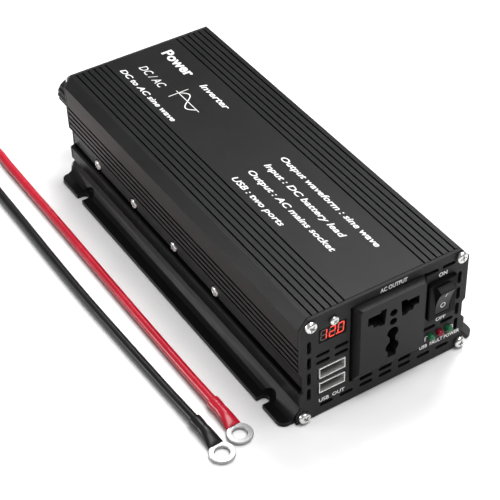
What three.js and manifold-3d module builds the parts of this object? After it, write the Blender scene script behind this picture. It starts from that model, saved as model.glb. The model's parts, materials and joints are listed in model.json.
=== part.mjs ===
// A small DC to AC power inverter in a finned two-shell aluminium case, with a pair of loose battery leads.
// Millimetres. X runs to the right as seen from the front, Y runs from the front to the rear, Z runs up.
// The origin is on the underside, in the middle of the case.
import * as THREE from 'three';
import { mergeVertices } from 'three/addons/utils/BufferGeometryUtils.js';
import Module from 'manifold-3d';

const wasm = await Module();
wasm.setup();

// ---------------------------------------------------------------- driving dimensions

const GAP = 0.3; // between pieces that touch
const CASE_LENGTH = 208.4;
const CASE_HEIGHT = 58.35;
const HALF_WIDTH = 43;
const PANEL_THICKNESS = 1.5;
const FRONT = -CASE_LENGTH / 2; // outer face of the front panel
const REAR = CASE_LENGTH / 2; // outer face of the rear panel
const SHELL_FRONT = FRONT + PANEL_THICKNESS + GAP;
const SHELL_REAR = REAR - PANEL_THICKNESS - GAP;

const CHAMFER = { x: 38.8, z: 53.1 }; // where the top flat and the side end
const SKIRT = { bandZ: 28.5, stepZ: 26.8, outerX: 41.5, innerX: 39.5, bottomZ: 19.4 };
const ROOF_INSIDE_Z = 55.4;
const TOP_GROOVES = { count: 6, innerX: 20.4, pitch: 3.18, width: 0.9, depth: 1.0 };
const SIDE_GROOVES = { count: 5, topZ: 41.6, pitch: 3.0, width: 1.2, depth: 1.5 };

const FLANGE = { halfWidth: 51.6, thickness: 2.2, cornerRadius: 3.75 };
const RIDGE = { outerX: 43.3, topZ: 17.4, lowZ: 9.9 };
const NECK = { x: 41.7, z: 8.3 };
const UPSTAND = { outerX: 39.2, innerX: 37.0, topZ: 27.4 };
const BOARD_LEDGE = { innerX: 35.0, topZ: 9.6, bottomZ: 8.2 };
const MOUNT_SLOT = { width: 4.8, tipX: 46.7, fromFront: [18.9, 185.7], reliefRadius: 5.2 };

const SCREW_BIG = { headRadius: 2.7, headHeight: 1.9, shankRadius: 1.3, length: 8 };
const SCREW_SIDE = { headRadius: 2.6, headHeight: 1.6, shankRadius: 1.3, length: 5.4 };
const SCREW_SMALL = { headRadius: 2.15, headHeight: 1.4, shankRadius: 0.95, length: 5 };
const CORNER_SCREWS = { upper: { x: 38.3, z: 54.6 }, lower: { x: 41.3, z: 3.3 } };
const SIDE_SCREWS = { z: 21.5, fromFront: [70.4, 106.9, 144.7, 181.0], counterboreRadius: 3.2 };
const COUNTERBORE_X = 40.5; // how deep into the skirt the screw heads' recesses go

const SOCKET = { x: 1.2, z: 32.55, width: 36.4, height: 42.2, wallOut: 0.45 };
const SOCKET_FACE = { width: 33.4, height: 36.6, raised: 2.05, proud: 3.7 };
const SOCKET_WINDOW = { width: 39.0, height: 43.2 };
const VENT = { length: 7, width: 2, pitch: 10.25, firstX: -29.7, rowZ: [5.6, 9.5] };
const SIDE_VENT = { x: 38.7, topZ: 42.5, pitch: 9.1 };
const SOCKET_PIN = { spacing: 16.8, z: 12.0, pocketDepth: 15 };
const SWITCH = { x: 28.8, z: 36.9, width: 15, height: 21, proud: 2.0, pivotOut: 0.8, travelDegrees: 28 };
const DISPLAY = { x: -27.1, z: 46.0, width: 13.8, height: 7.7 };
const DISPLAY_SCREW = { x: -26.8, z: 52.5 };
const USB = { x: -27.2, z: [25.0, 16.4], width: 13.2, height: 5.8, depth: 14, wall: 0.45 };
const LIGHTS = { x: [24.8, 29.6, 34.4], z: 15.2, radius: 1.6, proud: 2.6 };

const TERMINAL = { x: 33, z: 38.7, studRadius: 2.9, holeRadius: 4.6, knobRadius: 7.5, knobLength: 12.4 };
const FAN = { z: 30.5, side: 40, depth: 10, openingRadius: 19, hubRadius: 9, bladeCount: 7 };

const BOARD = { bottomZ: 9.9, thickness: 1.6, halfWidth: 36.6, front: -98, rear: 88 };

const LEAD = { radius: 2.25, sides: 10, sleeveLength: 15.5 };
const LUG = { ringRadius: 5.8, holeRadius: 3.25, thickness: 1.0, barrelRadius: 2.1, barrelLength: 9 };

// ---------------------------------------------------------------- materials

function finish(color, roughness, metalness) {
  return () => new THREE.MeshStandardMaterial({ color, roughness, metalness });
}

const anodised = finish(0x2b2b2d, 0.55, 0.6);
const panelPaint = finish(0x3a3a3c, 0.6, 0.3);
const blackPlastic = finish(0x1c1c1e, 0.5, 0.0);
const redPlastic = finish(0xb81425, 0.4, 0.0);
const zinc = finish(0xd2d2d0, 0.3, 0.9);
const brass = finish(0xc9a24b, 0.35, 0.9);
const bareAluminium = finish(0xb9bbbd, 0.4, 0.9);
const boardGreen = finish(0x1f5a34, 0.6, 0.0);
const ferrite = finish(0x3b3a38, 0.8, 0.1);
const redCover = finish(0xbe142d, 0.3, 0.0);
const blackCover = finish(0x18181a, 0.3, 0.0);
const redLens = finish(0xd23a30, 0.2, 0.0);
const greenLens = finish(0x57c07a, 0.2, 0.0);
const darkGlass = finish(0x120c0d, 0.15, 0.0);

// ---------------------------------------------------------------- solid modelling helpers

// A three.js geometry as a manifold solid, right side out.
function toSolid(geometry) {
  const bare = geometry.clone();
  bare.deleteAttribute('normal');
  bare.deleteAttribute('uv');
  const merged = mergeVertices(bare, 1e-4);
  const position = merged.attributes.position;
  const corners = [];
  for (let i = 0; i < merged.index.count; i += 3) {
    const [a, b, c] = [0, 1, 2].map((k) => merged.index.getX(i + k));
    if (a !== b && b !== c && c !== a) corners.push([a, b, c]);
  }
  const at = (i) => new THREE.Vector3().fromBufferAttribute(position, i);
  const volume = corners.reduce((sum, [a, b, c]) => sum + at(a).dot(at(b).cross(at(c))), 0);
  const outward = volume < 0 ? corners.map(([a, b, c]) => [a, c, b]) : corners;
  const mesh = new wasm.Mesh({
    numProp: 3,
    vertProperties: new Float32Array(position.array),
    triVerts: new Uint32Array(outward.flat()),
  });
  return new wasm.Manifold(mesh);
}

// A manifold solid as a flat-shaded three.js geometry.
function toGeometry(solid) {
  const mesh = solid.getMesh();
  const indexed = new THREE.BufferGeometry();
  indexed.setAttribute('position', new THREE.BufferAttribute(mesh.vertProperties, 3));
  indexed.setIndex(new THREE.BufferAttribute(mesh.triVerts, 1));
  const geometry = indexed.toNonIndexed();
  geometry.computeVertexNormals();
  return geometry;
}

function join(...geometries) {
  return toGeometry(geometries.map(toSolid).reduce((all, next) => all.add(next)));
}

function cut(geometry, tools) {
  return toGeometry(tools.map(toSolid).reduce((left, tool) => left.subtract(tool), toSolid(geometry)));
}

function keepInside(geometry, limit) {
  return toGeometry(toSolid(geometry).intersect(toSolid(limit)));
}

function part(name, geometry, material) {
  const mesh = new THREE.Mesh(toGeometry(toSolid(geometry)), material());
  mesh.name = name;
  return mesh;
}

function groupAt(x, y, z, ...children) {
  const group = new THREE.Group();
  group.position.set(x, y, z);
  group.add(...children);
  return group;
}

// ---------------------------------------------------------------- shapes and bodies

function box(x0, x1, y0, y1, z0, z1) {
  const geometry = new THREE.BoxGeometry(x1 - x0, y1 - y0, z1 - z0);
  return geometry.translate((x0 + x1) / 2, (y0 + y1) / 2, (z0 + z1) / 2);
}

function outline(points) {
  return new THREE.Shape(points.map(([x, y]) => new THREE.Vector2(x, y)));
}

// A closed outline from its right half, listed from the middle of one edge to the middle of the other.
function mirroredOutline(rightHalf) {
  const leftHalf = rightHalf.filter(([x]) => x > 0).map(([x, z]) => [-x, z]).reverse();
  return outline([...rightHalf, ...leftHalf]);
}

function rectangle(x, z, width, height) {
  const [w, h] = [width / 2, height / 2];
  return outline([[x - w, z - h], [x + w, z - h], [x + w, z + h], [x - w, z + h]]);
}

function arcPoints(x, z, radius, from, to, steps) {
  return Array.from({ length: steps + 1 }, (_, i) => {
    const angle = from + ((to - from) * i) / steps;
    return [x + radius * Math.cos(angle), z + radius * Math.sin(angle)];
  });
}

function roundedRectangle(x, z, width, height, radius, steps) {
  const [w, h] = [width / 2 - radius, height / 2 - radius];
  const quarter = Math.PI / 2;
  const corners = [[w, -h], [w, h], [-w, h], [-w, -h]];
  return outline(corners.flatMap(([dx, dz], i) => (
    arcPoints(x + dx, z + dz, radius, (i - 1) * quarter, i * quarter, steps)
  )));
}

function disc(x, z, radius, segments = 12) {
  const round = arcPoints(x, z, radius, 0, Math.PI * 2, segments).slice(0, -1);
  return outline(round);
}

// A slot with round ends, lying or standing by which side is longer.
function slot(x, z, width, height) {
  return roundedRectangle(x, z, width, height, Math.min(width, height) / 2 - 0.02, 2);
}

function extrude(shape, depth) {
  return new THREE.ExtrudeGeometry(shape, { depth, bevelEnabled: false, curveSegments: 6 });
}

// The outline's axes are X and Z, and the body runs from y0 to y1.
function alongY(shape, y0, y1) {
  return extrude(shape, y1 - y0).rotateX(Math.PI / 2).translate(0, y1, 0);
}

// A plate across the Y axis with openings of the given outlines through it.
function pierced(shape, openings, y0, y1) {
  return cut(alongY(shape, y0, y1), openings.map((opening) => alongY(opening, y0 - 1, y1 + 1)));
}

// The outline's axes are Y and Z, and the body runs from x0 to x1.
function alongX(shape, x0, x1) {
  const turn = new THREE.Matrix4().makeBasis(
    new THREE.Vector3(0, 1, 0),
    new THREE.Vector3(0, 0, 1),
    new THREE.Vector3(1, 0, 0),
  );
  return extrude(shape, x1 - x0).applyMatrix4(turn).translate(x0, 0, 0);
}

// The outline's axes are X and Y, and the body runs from z0 to z1.
function alongZ(shape, z0, z1) {
  return extrude(shape, z1 - z0).translate(0, 0, z0);
}

// A turned body about the Y axis, from [radius, y] points.
function turned(profile, segments) {
  return new THREE.LatheGeometry(profile.map(([r, y]) => new THREE.Vector2(r, y)), segments);
}

function rodY(radius, y0, y1, segments = 12) {
  return turned([[0, y0], [radius, y0], [radius, y1], [0, y1]], segments);
}

// A closed body over a stack of loops that all have the same number of points.
function skinned(loops) {
  const count = loops[0].length;
  const points = loops.flat();
  const faces = [];
  for (let ring = 0; ring + 1 < loops.length; ring += 1) {
    for (let i = 0; i < count; i += 1) {
      const [a, b] = [ring * count + i, ring * count + ((i + 1) % count)];
      faces.push(a, b, b + count, a, b + count, a + count);
    }
  }
  const last = (loops.length - 1) * count;
  for (let i = 1; i + 1 < count; i += 1) {
    faces.push(0, i + 1, i, last, last + i, last + i + 1);
  }
  const geometry = new THREE.BufferGeometry().setFromPoints(points);
  geometry.setIndex(faces);
  return geometry;
}

// A rectangular loop across the Y axis with cut corners, its middle raised by the given height.
function corneredLoop(width, height, corner, y, raised = 0) {
  const [w, h] = [width / 2, height / 2];
  const corners = [
    [w - corner, -h], [w, -h + corner], [w, h - corner], [w - corner, h],
    [-w + corner, h], [-w, h - corner], [-w, -h + corner], [-w + corner, -h],
  ];
  return corners.map(([x, z]) => new THREE.Vector3(x, y, z + raised));
}

// ---------------------------------------------------------------- case

function topGrooves() {
  const { count, innerX, pitch, width, depth } = TOP_GROOVES;
  return Array.from({ length: count }, (_, i) => innerX + i * pitch).flatMap((x) => [
    [x - width / 2, CASE_HEIGHT],
    [x - width / 2 + 0.1, CASE_HEIGHT - depth],
    [x + width / 2 - 0.1, CASE_HEIGHT - depth],
    [x + width / 2, CASE_HEIGHT],
  ]);
}

function sideGrooves() {
  const { count, topZ, pitch, width, depth } = SIDE_GROOVES;
  return Array.from({ length: count }, (_, i) => topZ - i * pitch).flatMap((z) => [
    [HALF_WIDTH, z + width / 2],
    [HALF_WIDTH - depth, z + width / 2 - 0.15],
    [HALF_WIDTH - depth, z - width / 2 + 0.15],
    [HALF_WIDTH, z - width / 2],
  ]);
}

function sideScrewHoles() {
  return SIDE_SCREWS.fromFront.flatMap((distance) => {
    const [y, z] = [FRONT + distance, SIDE_SCREWS.z];
    return [-1, 1].flatMap((side) => {
      const through = alongX(disc(y, z, SCREW_SIDE.shankRadius + GAP), 36, 43);
      const recess = alongX(disc(y, z, SIDE_SCREWS.counterboreRadius), COUNTERBORE_X, 43);
      return side > 0 ? [through, recess] : [through.scale(-1, 1, 1), recess.scale(-1, 1, 1)];
    });
  });
}

function cornerScrewHoles(corner, depth) {
  const radius = SCREW_BIG.shankRadius + GAP;
  return [-1, 1].flatMap((side) => [
    alongY(disc(side * corner.x, corner.z, radius), SHELL_FRONT - 1, SHELL_FRONT + depth),
    alongY(disc(side * corner.x, corner.z, radius), SHELL_REAR - depth, SHELL_REAR + 1),
  ]);
}

function topShell() {
  const section = mirroredOutline([
    ...topGrooves(),
    [CHAMFER.x, CASE_HEIGHT],
    [HALF_WIDTH, CHAMFER.z],
    ...sideGrooves(),
    [HALF_WIDTH, SKIRT.bandZ],
    [SKIRT.outerX, SKIRT.stepZ],
    [SKIRT.outerX, SKIRT.bottomZ],
    [SKIRT.innerX, SKIRT.bottomZ],
    [SKIRT.innerX, 50.4],
    [35.2, 50.4],
    [33.6, 52.0],
    [33.6, ROOF_INSIDE_Z],
  ]);
  const body = alongY(section, SHELL_FRONT, SHELL_REAR);
  const holes = [...sideScrewHoles(), ...cornerScrewHoles(CORNER_SCREWS.upper, 9)];
  return part('top_shell', cut(body, holes), anodised);
}

function mountSlots() {
  const { width, tipX, fromFront, reliefRadius } = MOUNT_SLOT;
  const centreX = tipX + width / 2;
  return fromFront.flatMap((distance) => [-1, 1].flatMap((side) => {
    const y = FRONT + distance;
    const mouth = box(centreX, FLANGE.halfWidth + 2, y - width / 2, y + width / 2, -1, 4);
    const tip = alongZ(disc(centreX, y, width / 2, 20), -1, 4);
    const relief = alongZ(disc(centreX, y, reliefRadius, 28), FLANGE.thickness, 12);
    return [mouth, tip, relief].map((tool) => tool.scale(side, 1, 1));
  }));
}

function baseShell() {
  const section = mirroredOutline([
    [FLANGE.halfWidth, 0],
    [FLANGE.halfWidth, FLANGE.thickness],
    [47.2, FLANGE.thickness],
    [45.2, 3.5],
    [43.2, 5.8],
    [NECK.x, NECK.z],
    [RIDGE.outerX, RIDGE.lowZ],
    [RIDGE.outerX, RIDGE.topZ - 0.8],
    [RIDGE.outerX - 0.8, RIDGE.topZ],
    [UPSTAND.outerX, RIDGE.topZ],
    [UPSTAND.outerX, UPSTAND.topZ],
    [UPSTAND.innerX, UPSTAND.topZ],
    [UPSTAND.innerX, BOARD_LEDGE.topZ],
    [BOARD_LEDGE.innerX, BOARD_LEDGE.topZ],
    [BOARD_LEDGE.innerX, BOARD_LEDGE.bottomZ],
    [UPSTAND.innerX, BOARD_LEDGE.bottomZ],
    [UPSTAND.innerX, FLANGE.thickness],
  ]);
  const channels = [-1, 1].map((side) => rectangle(side * 40.3, 13, 3, 5.8));
  const body = pierced(section, channels, SHELL_FRONT, SHELL_REAR);
  const [width, length] = [2 * FLANGE.halfWidth, SHELL_REAR - SHELL_FRONT];
  const plan = roundedRectangle(0, 0, width, length, FLANGE.cornerRadius, 5);
  const holes = [...mountSlots(), ...sideScrewHoles(), ...cornerScrewHoles(CORNER_SCREWS.lower, 9)];
  return part('base_shell', cut(keepInside(body, alongZ(plan, -1, 60)), holes), anodised);
}

function panelOutline() {
  return mirroredOutline([
    [CHAMFER.x, CASE_HEIGHT],
    [HALF_WIDTH, CHAMFER.z],
    [HALF_WIDTH, SKIRT.bandZ],
    [SKIRT.outerX, SKIRT.stepZ],
    [SKIRT.outerX, RIDGE.topZ],
    [RIDGE.outerX, RIDGE.topZ - 0.6],
    [RIDGE.outerX, RIDGE.lowZ],
    [NECK.x, NECK.z],
    [44.2, 4.2],
    [45.0, 0.2],
  ]);
}

function cornerScrewClearances() {
  const radius = SCREW_BIG.shankRadius + GAP;
  return Object.values(CORNER_SCREWS).flatMap(({ x, z }) => [disc(x, z, radius), disc(-x, z, radius)]);
}

function frontVents() {
  const { length, width, pitch, firstX, rowZ } = VENT;
  const standing = [0, 1, 2, 3].flatMap((i) => (
    [-1, 1].map((side) => slot(side * SIDE_VENT.x, SIDE_VENT.topZ - SIDE_VENT.pitch * i, width, length))
  ));
  const bottomRow = [0, 1, 2, 3, 4, 5, 6].map((i) => [firstX + pitch * i, rowZ[0]]);
  const secondRow = [2, 3, 4].map((i) => [firstX + pitch * i, rowZ[1]]);
  const beside = [
    [-31.7, 35.6], [-22.4, 35.6], [-31.7, 31.4], [-22.4, 31.4],
    [23.4, 52.8], [32.3, 52.8], [23.8, 20.5], [33.3, 20.5],
  ];
  const lying = [...bottomRow, ...secondRow, ...beside].map(([x, z]) => slot(x, z, length, width));
  return [...standing, ...lying];
}

function frontPanel() {
  const openings = [
    rectangle(SOCKET.x, SOCKET.z, SOCKET_WINDOW.width, SOCKET_WINDOW.height),
    rectangle(SWITCH.x, SWITCH.z, 13.2, 19.2),
    rectangle(DISPLAY.x, DISPLAY.z, DISPLAY.width, DISPLAY.height),
    ...USB.z.map((z) => rectangle(USB.x, z, USB.width + 1, USB.height + 0.9)),
    ...LIGHTS.x.map((x) => disc(x, LIGHTS.z, LIGHTS.radius + GAP)),
    disc(DISPLAY_SCREW.x, DISPLAY_SCREW.z, SCREW_SMALL.shankRadius + GAP),
    ...cornerScrewClearances(),
    ...frontVents(),
  ];
  const plate = pierced(panelOutline(), openings, FRONT, FRONT + PANEL_THICKNESS);
  return part('front_panel', plate, panelPaint);
}

// A slot bent round the fan's axis.
function arcSlot(radius, width, from, to) {
  const steps = Math.round(radius / 2);
  return outline([
    ...arcPoints(0, FAN.z, radius + width / 2, from, to, steps),
    ...arcPoints(0, FAN.z, radius - width / 2, to, from, steps),
  ]);
}

function rearPanel() {
  const quarter = Math.PI / 2;
  const grille = [6.5, 10.9, 15.3].flatMap((radius) => [0, 1, 2, 3].map((i) => {
    const rib = 1.1 / radius; // half the angle that a rib between two slots takes
    return arcSlot(radius, 3, (i + 0.5) * quarter + rib, (i + 1.5) * quarter - rib);
  }));
  const vents = [-3, -2, -1, 0, 1, 2, 3].map((i) => (
    slot(VENT.pitch * i, VENT.rowZ[0], VENT.length, VENT.width)
  ));
  const openings = [
    disc(TERMINAL.x, TERMINAL.z, TERMINAL.holeRadius, 20),
    disc(-TERMINAL.x, TERMINAL.z, TERMINAL.holeRadius, 20),
    ...cornerScrewClearances(),
    ...grille,
    ...vents,
  ];
  return part('rear_panel', pierced(panelOutline(), openings, REAR - PANEL_THICKNESS, REAR), panelPaint);
}

// ---------------------------------------------------------------- screws

// A cross-recessed pan-head screw along the Y axis: the head's seat is at y = 0 and the head is towards -Y.
function screw(size) {
  const { headRadius, headHeight, shankRadius, length } = size;
  const body = turned([
    [0, length],
    [shankRadius, length],
    [shankRadius, 0],
    [headRadius, 0],
    [headRadius, -headHeight * 0.45],
    [headRadius * 0.7, -headHeight],
    [0, -headHeight],
  ], 12);
  const [arm, half] = [headRadius * 0.55, headRadius * 0.13];
  const floor = -headHeight * 0.35;
  const stroke = (reachX, reachZ) => box(-reachX, reachX, -headHeight - 1, floor, -reachZ, reachZ);
  return cut(body, [stroke(arm, half), stroke(half, arm)]);
}

function panelScrews(end) {
  const places = [
    ['upper_left', -1, CORNER_SCREWS.upper],
    ['upper_right', 1, CORNER_SCREWS.upper],
    ['lower_left', -1, CORNER_SCREWS.lower],
    ['lower_right', 1, CORNER_SCREWS.lower],
  ];
  return places.map(([place, side, corner]) => {
    const mesh = part(`${end}_screw_${place}`, screw(SCREW_BIG), zinc);
    const seat = end === 'front' ? FRONT - GAP : REAR + GAP;
    mesh.position.set(side * corner.x, seat, corner.z);
    mesh.rotation.z = end === 'front' ? 0 : Math.PI;
    return mesh;
  });
}

function sideScrews() {
  return [['left', -1], ['right', 1]].flatMap(([name, side]) => SIDE_SCREWS.fromFront.map((distance, i) => {
    const mesh = part(`${name}_side_screw_${i + 1}`, screw(SCREW_SIDE), zinc);
    mesh.position.set(side * (COUNTERBORE_X + GAP), FRONT + distance, SIDE_SCREWS.z);
    mesh.rotation.z = side * Math.PI / 2;
    return mesh;
  }));
}

// ---------------------------------------------------------------- AC outlet

// One side's opening for the flat, round and slanted pins of many plug standards, mirrored by side.
function pinOpening(side) {
  const { spacing, z } = SOCKET_PIN;
  const points = [
    [-4.7, 4.2], [-2.0, 4.3], [-1.4, 3.1], [4.7, 3.1], [4.8, -1.4],
    [2.3, -1.4], [1.7, -3.4], [-0.8, -3.4], [-1.8, -4.4], [-3.9, -4.4], [-4.4, 0.6],
  ];
  return outline(points.map(([x, dz]) => [side * (spacing / 2 + x), z + dz]));
}

// The earth opening: two round holes joined by a neck, with a slot for a flat pin at the bottom.
function earthOpening() {
  const upper = { z: 0.6, radius: 2.9 };
  const lower = { z: -7.7, radius: 3.4 };
  const [neck, slotHalf, slotZ] = [1.5, 2.1, -13.4];
  const upperGap = Math.asin(neck / upper.radius);
  const lowerGap = Math.asin(neck / lower.radius);
  const slotGap = Math.asin(slotHalf / lower.radius);
  const quarter = Math.PI / 2;
  return outline([
    ...arcPoints(0, upper.z, upper.radius, -quarter + upperGap, 3 * quarter - upperGap, 14),
    ...arcPoints(0, lower.z, lower.radius, quarter + lowerGap, 3 * quarter - slotGap, 6),
    [-slotHalf, slotZ],
    [slotHalf, slotZ],
    ...arcPoints(0, lower.z, lower.radius, -quarter + slotGap, quarter - lowerGap, 6),
  ]);
}

function socketOpenings() {
  return [
    pinOpening(-1),
    pinOpening(1),
    earthOpening(),
    disc(0, 11.9, 1.9),
    disc(0, 6.9, 1.9),
  ];
}

function acOutlet() {
  const { width, height, wallOut } = SOCKET;
  const { proud, raised } = SOCKET_FACE;
  const inside = PANEL_THICKNESS + GAP;
  const face = skinned([
    corneredLoop(width, height, 0.8, inside + 0.6),
    corneredLoop(width, height, 0.8, -wallOut),
    corneredLoop(SOCKET_FACE.width, SOCKET_FACE.height, 0.8, -proud, raised),
  ]);
  const rim = box(-20.1, 20.1, inside, inside + 1.4, -22.2, 22.2);
  const throughFace = socketOpenings().map((shape) => alongY(shape, -proud - 1, 5));
  const faceplate = part('socket_faceplate', cut(join(face, rim), throughFace), blackPlastic);

  const bodyFront = inside + 1.4 + GAP;
  const bodyRear = bodyFront + SOCKET_PIN.pocketDepth + 2;
  const block = box(-17, 17, bodyFront, bodyRear, -19, 19.5);
  const pockets = [
    ...[-1, 1].map((side) => rectangle((side * SOCKET_PIN.spacing) / 2, SOCKET_PIN.z - 0.2, 10.4, 9.6)),
    rectangle(0, -5.2, 7.4, 18.4),
  ].map((shape) => alongY(shape, bodyFront - 1, bodyRear - 2));
  const body = part('socket_body', cut(block, pockets), blackPlastic);

  const contact = (name, x, z, height) => {
    const spring = box(-2.6, 2.6, bodyRear - 6, bodyRear - 2 - GAP, -height / 2, height / 2);
    const pinSlot = box(-1.2, 1.2, bodyRear - 7, bodyRear - 4, -height, height);
    const mesh = part(name, cut(spring, [pinSlot]), brass);
    mesh.position.set(x, 0, z);
    return mesh;
  };
  const contacts = [
    contact('socket_contact_live', SOCKET_PIN.spacing / 2, SOCKET_PIN.z - 0.5, 8),
    contact('socket_contact_neutral', -SOCKET_PIN.spacing / 2, SOCKET_PIN.z - 0.5, 8),
    contact('socket_contact_earth', 0, -8.2, 10.6),
  ];
  return groupAt(SOCKET.x, FRONT, SOCKET.z, faceplate, body, ...contacts);
}

// ---------------------------------------------------------------- rocker switch

function powerSwitch() {
  const { width, height, proud, pivotOut, travelDegrees } = SWITCH;
  const bezel = skinned([
    corneredLoop(width, height, 0.8, -GAP),
    corneredLoop(width, height, 0.8, -proud + 0.5),
    corneredLoop(width - 1, height - 1, 0.6, -proud),
  ]);
  const shaft = box(-6.3, 6.3, -GAP, 12, -9.3, 9.3);
  const [swingRadius, halfWidth, pinRadius, clearance] = [7.8, 3.85, 0.6, 0.25];
  const [pitWidth, pitHeight] = [halfWidth + clearance, swingRadius + clearance];
  const pit = box(-pitWidth, pitWidth, -proud - 1, 9, -pitHeight, pitHeight);
  const pivotBore = alongX(disc(-pivotOut, 0, pinRadius + clearance), -pitWidth - 0.8, pitWidth + 0.8);
  const housing = part('switch_housing', cut(join(bezel, shaft), [pit, pivotBore]), blackPlastic);

  // The rocker's side view before it is tipped, as [height, distance out of the pivot].
  const [faceEnd, faceMiddle, foot] = [2.95, 1.9, -4.4];
  const reach = Math.sqrt(swingRadius ** 2 - faceEnd ** 2);
  const side = new THREE.Shape();
  side.moveTo(-reach, faceEnd);
  side.quadraticCurveTo(-reach / 2, faceMiddle - 0.1, 0, faceMiddle);
  side.quadraticCurveTo(reach / 2, faceMiddle - 0.1, reach, faceEnd);
  side.absarc(0, 0, swingRadius, Math.atan2(faceEnd, reach), -0.42, true);
  side.lineTo(3, foot);
  side.lineTo(-3, foot);
  side.absarc(0, 0, swingRadius, Math.PI + 0.42, Math.PI - Math.atan2(faceEnd, reach), true);
  const upright = new THREE.Matrix4().makeBasis(
    new THREE.Vector3(0, 0, 1),
    new THREE.Vector3(0, -1, 0),
    new THREE.Vector3(1, 0, 0),
  );
  const bodyOfRocker = extrude(side, 2 * halfWidth).translate(0, 0, -halfWidth).applyMatrix4(upright);
  const pins = alongX(disc(0, 0, pinRadius), -halfWidth - 0.5, halfWidth + 0.5);
  const rocker = part('switch_rocker', join(bodyOfRocker, pins), blackPlastic);
  rocker.rotation.x = THREE.MathUtils.degToRad(travelDegrees / 2); // off: the top stands out
  rocker.position.y = -pivotOut;
  return groupAt(SWITCH.x, FRONT, SWITCH.z, housing, rocker);
}

// ---------------------------------------------------------------- display, lights and USB ports

function voltmeter() {
  const window = box(-6.6, 6.6, 0.25, 2.1, -3.55, 3.55);
  const body = box(-7.7, 7.7, PANEL_THICKNESS + GAP, 11, -3.95, 3.95);
  const module = part('voltmeter_module', join(window, body), darkGlass);
  const clampScrew = part('voltmeter_screw', screw(SCREW_SMALL), zinc);
  clampScrew.position.set(DISPLAY_SCREW.x, FRONT - GAP, DISPLAY_SCREW.z);
  return [groupAt(DISPLAY.x, FRONT, DISPLAY.z, module), clampScrew];
}

function indicatorLights() {
  const names = ['left', 'middle', 'right'];
  const { radius, z, proud } = LIGHTS;
  const dome = arcPoints(0, 0, radius, -Math.PI / 2, 0, 4).map(([r, y]) => [r, y - proud + radius]);
  const profile = [...dome, [radius, 2.1], [radius + 0.4, 2.1], [radius + 0.4, 3.2], [0, 3.2]];
  return LIGHTS.x.map((x, i) => {
    const lens = part(`light_${names[i]}`, turned(profile, 12), i === 1 ? redLens : greenLens);
    lens.position.set(x, FRONT, z);
    return lens;
  });
}

function usbPorts() {
  const { x, width, height, depth, wall } = USB;
  return USB.z.flatMap((z, i) => {
    const place = ['upper', 'lower'][i];
    const sleeve = box(-width / 2, width / 2, -0.5, depth, -height / 2, height / 2);
    const [mouthX, mouthZ] = [width / 2 - wall, height / 2 - wall];
    const mouth = box(-mouthX, mouthX, -2, depth - 1, -mouthZ, mouthZ);
    const shell = part(`usb_shell_${place}`, cut(sleeve, [mouth]), zinc);
    const tongue = part(`usb_tongue_${place}`, box(-5.6, 5.6, 1.2, depth - 1.4, 0.2, 2.1), blackPlastic);
    return groupAt(x, FRONT, z, shell, tongue);
  });
}

// ---------------------------------------------------------------- battery terminals

function fluted(radius, flutes, depth) {
  const points = Array.from({ length: flutes * 4 }, (_, i) => {
    const r = i % 4 < 2 ? radius : radius - depth;
    const angle = (i / (flutes * 4)) * Math.PI * 2;
    return [r * Math.cos(angle), r * Math.sin(angle)];
  });
  return outline(points);
}

function terminal(side, name, plastic) {
  const { studRadius, holeRadius, knobRadius, knobLength } = TERMINAL;
  const bore = studRadius + GAP;
  const insulator = part(`terminal_insulator_${name}`, turned([
    [bore, -2.4],
    [holeRadius - GAP, -2.4],
    [holeRadius - GAP, GAP],
    [6.6, GAP],
    [6.6, 2.6],
    [6.0, 3.0],
    [bore, 3.0],
    [bore, -2.4],
  ], 20), plastic);

  const rod = turned([[0, -7], [studRadius, -7], [studRadius, 13.4], [studRadius - 0.6, 14], [0, 14]], 14);
  const collar = turned([[0, -5.6], [5, -5.6], [5, -2.8], [0, -2.8]], 6);
  const stud = part(`terminal_stud_${name}`, join(rod, collar), brass);

  const washer = part(`terminal_washer_${name}`, turned([
    [bore, 3.3],
    [5.6, 3.3],
    [5.6, 4.3],
    [bore, 4.3],
    [bore, 3.3],
  ], 20), zinc);

  const knobStart = 4.6;
  const grip = alongY(fluted(knobRadius, 16, 0.55), knobStart + 1.2, knobStart + knobLength - 1.6);
  const shoulder = turned([
    [0, knobStart],
    [knobRadius - 1, knobStart],
    [knobRadius - 0.9, knobStart + 1.2],
    [knobRadius - 0.9, knobStart + knobLength - 1.6],
    [knobRadius - 2, knobStart + knobLength],
    [0, knobStart + knobLength],
  ], 24);
  const knob = part(
    `terminal_knob_${name}`,
    cut(join(grip, shoulder), [rodY(bore, knobStart - 1, 14.6, 14)]),
    plastic,
  );
  return groupAt(side * TERMINAL.x, REAR, TERMINAL.z, insulator, stud, washer, knob);
}

// ---------------------------------------------------------------- fan

function fanBlade(angle) {
  const { hubRadius, openingRadius } = FAN;
  const blade = box(hubRadius - 1, openingRadius - 0.9, -0.5, 0.5, -3.6, 3.6);
  blade.rotateX(THREE.MathUtils.degToRad(52)).translate(0, 6, 0);
  return blade.rotateY(angle);
}

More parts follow.
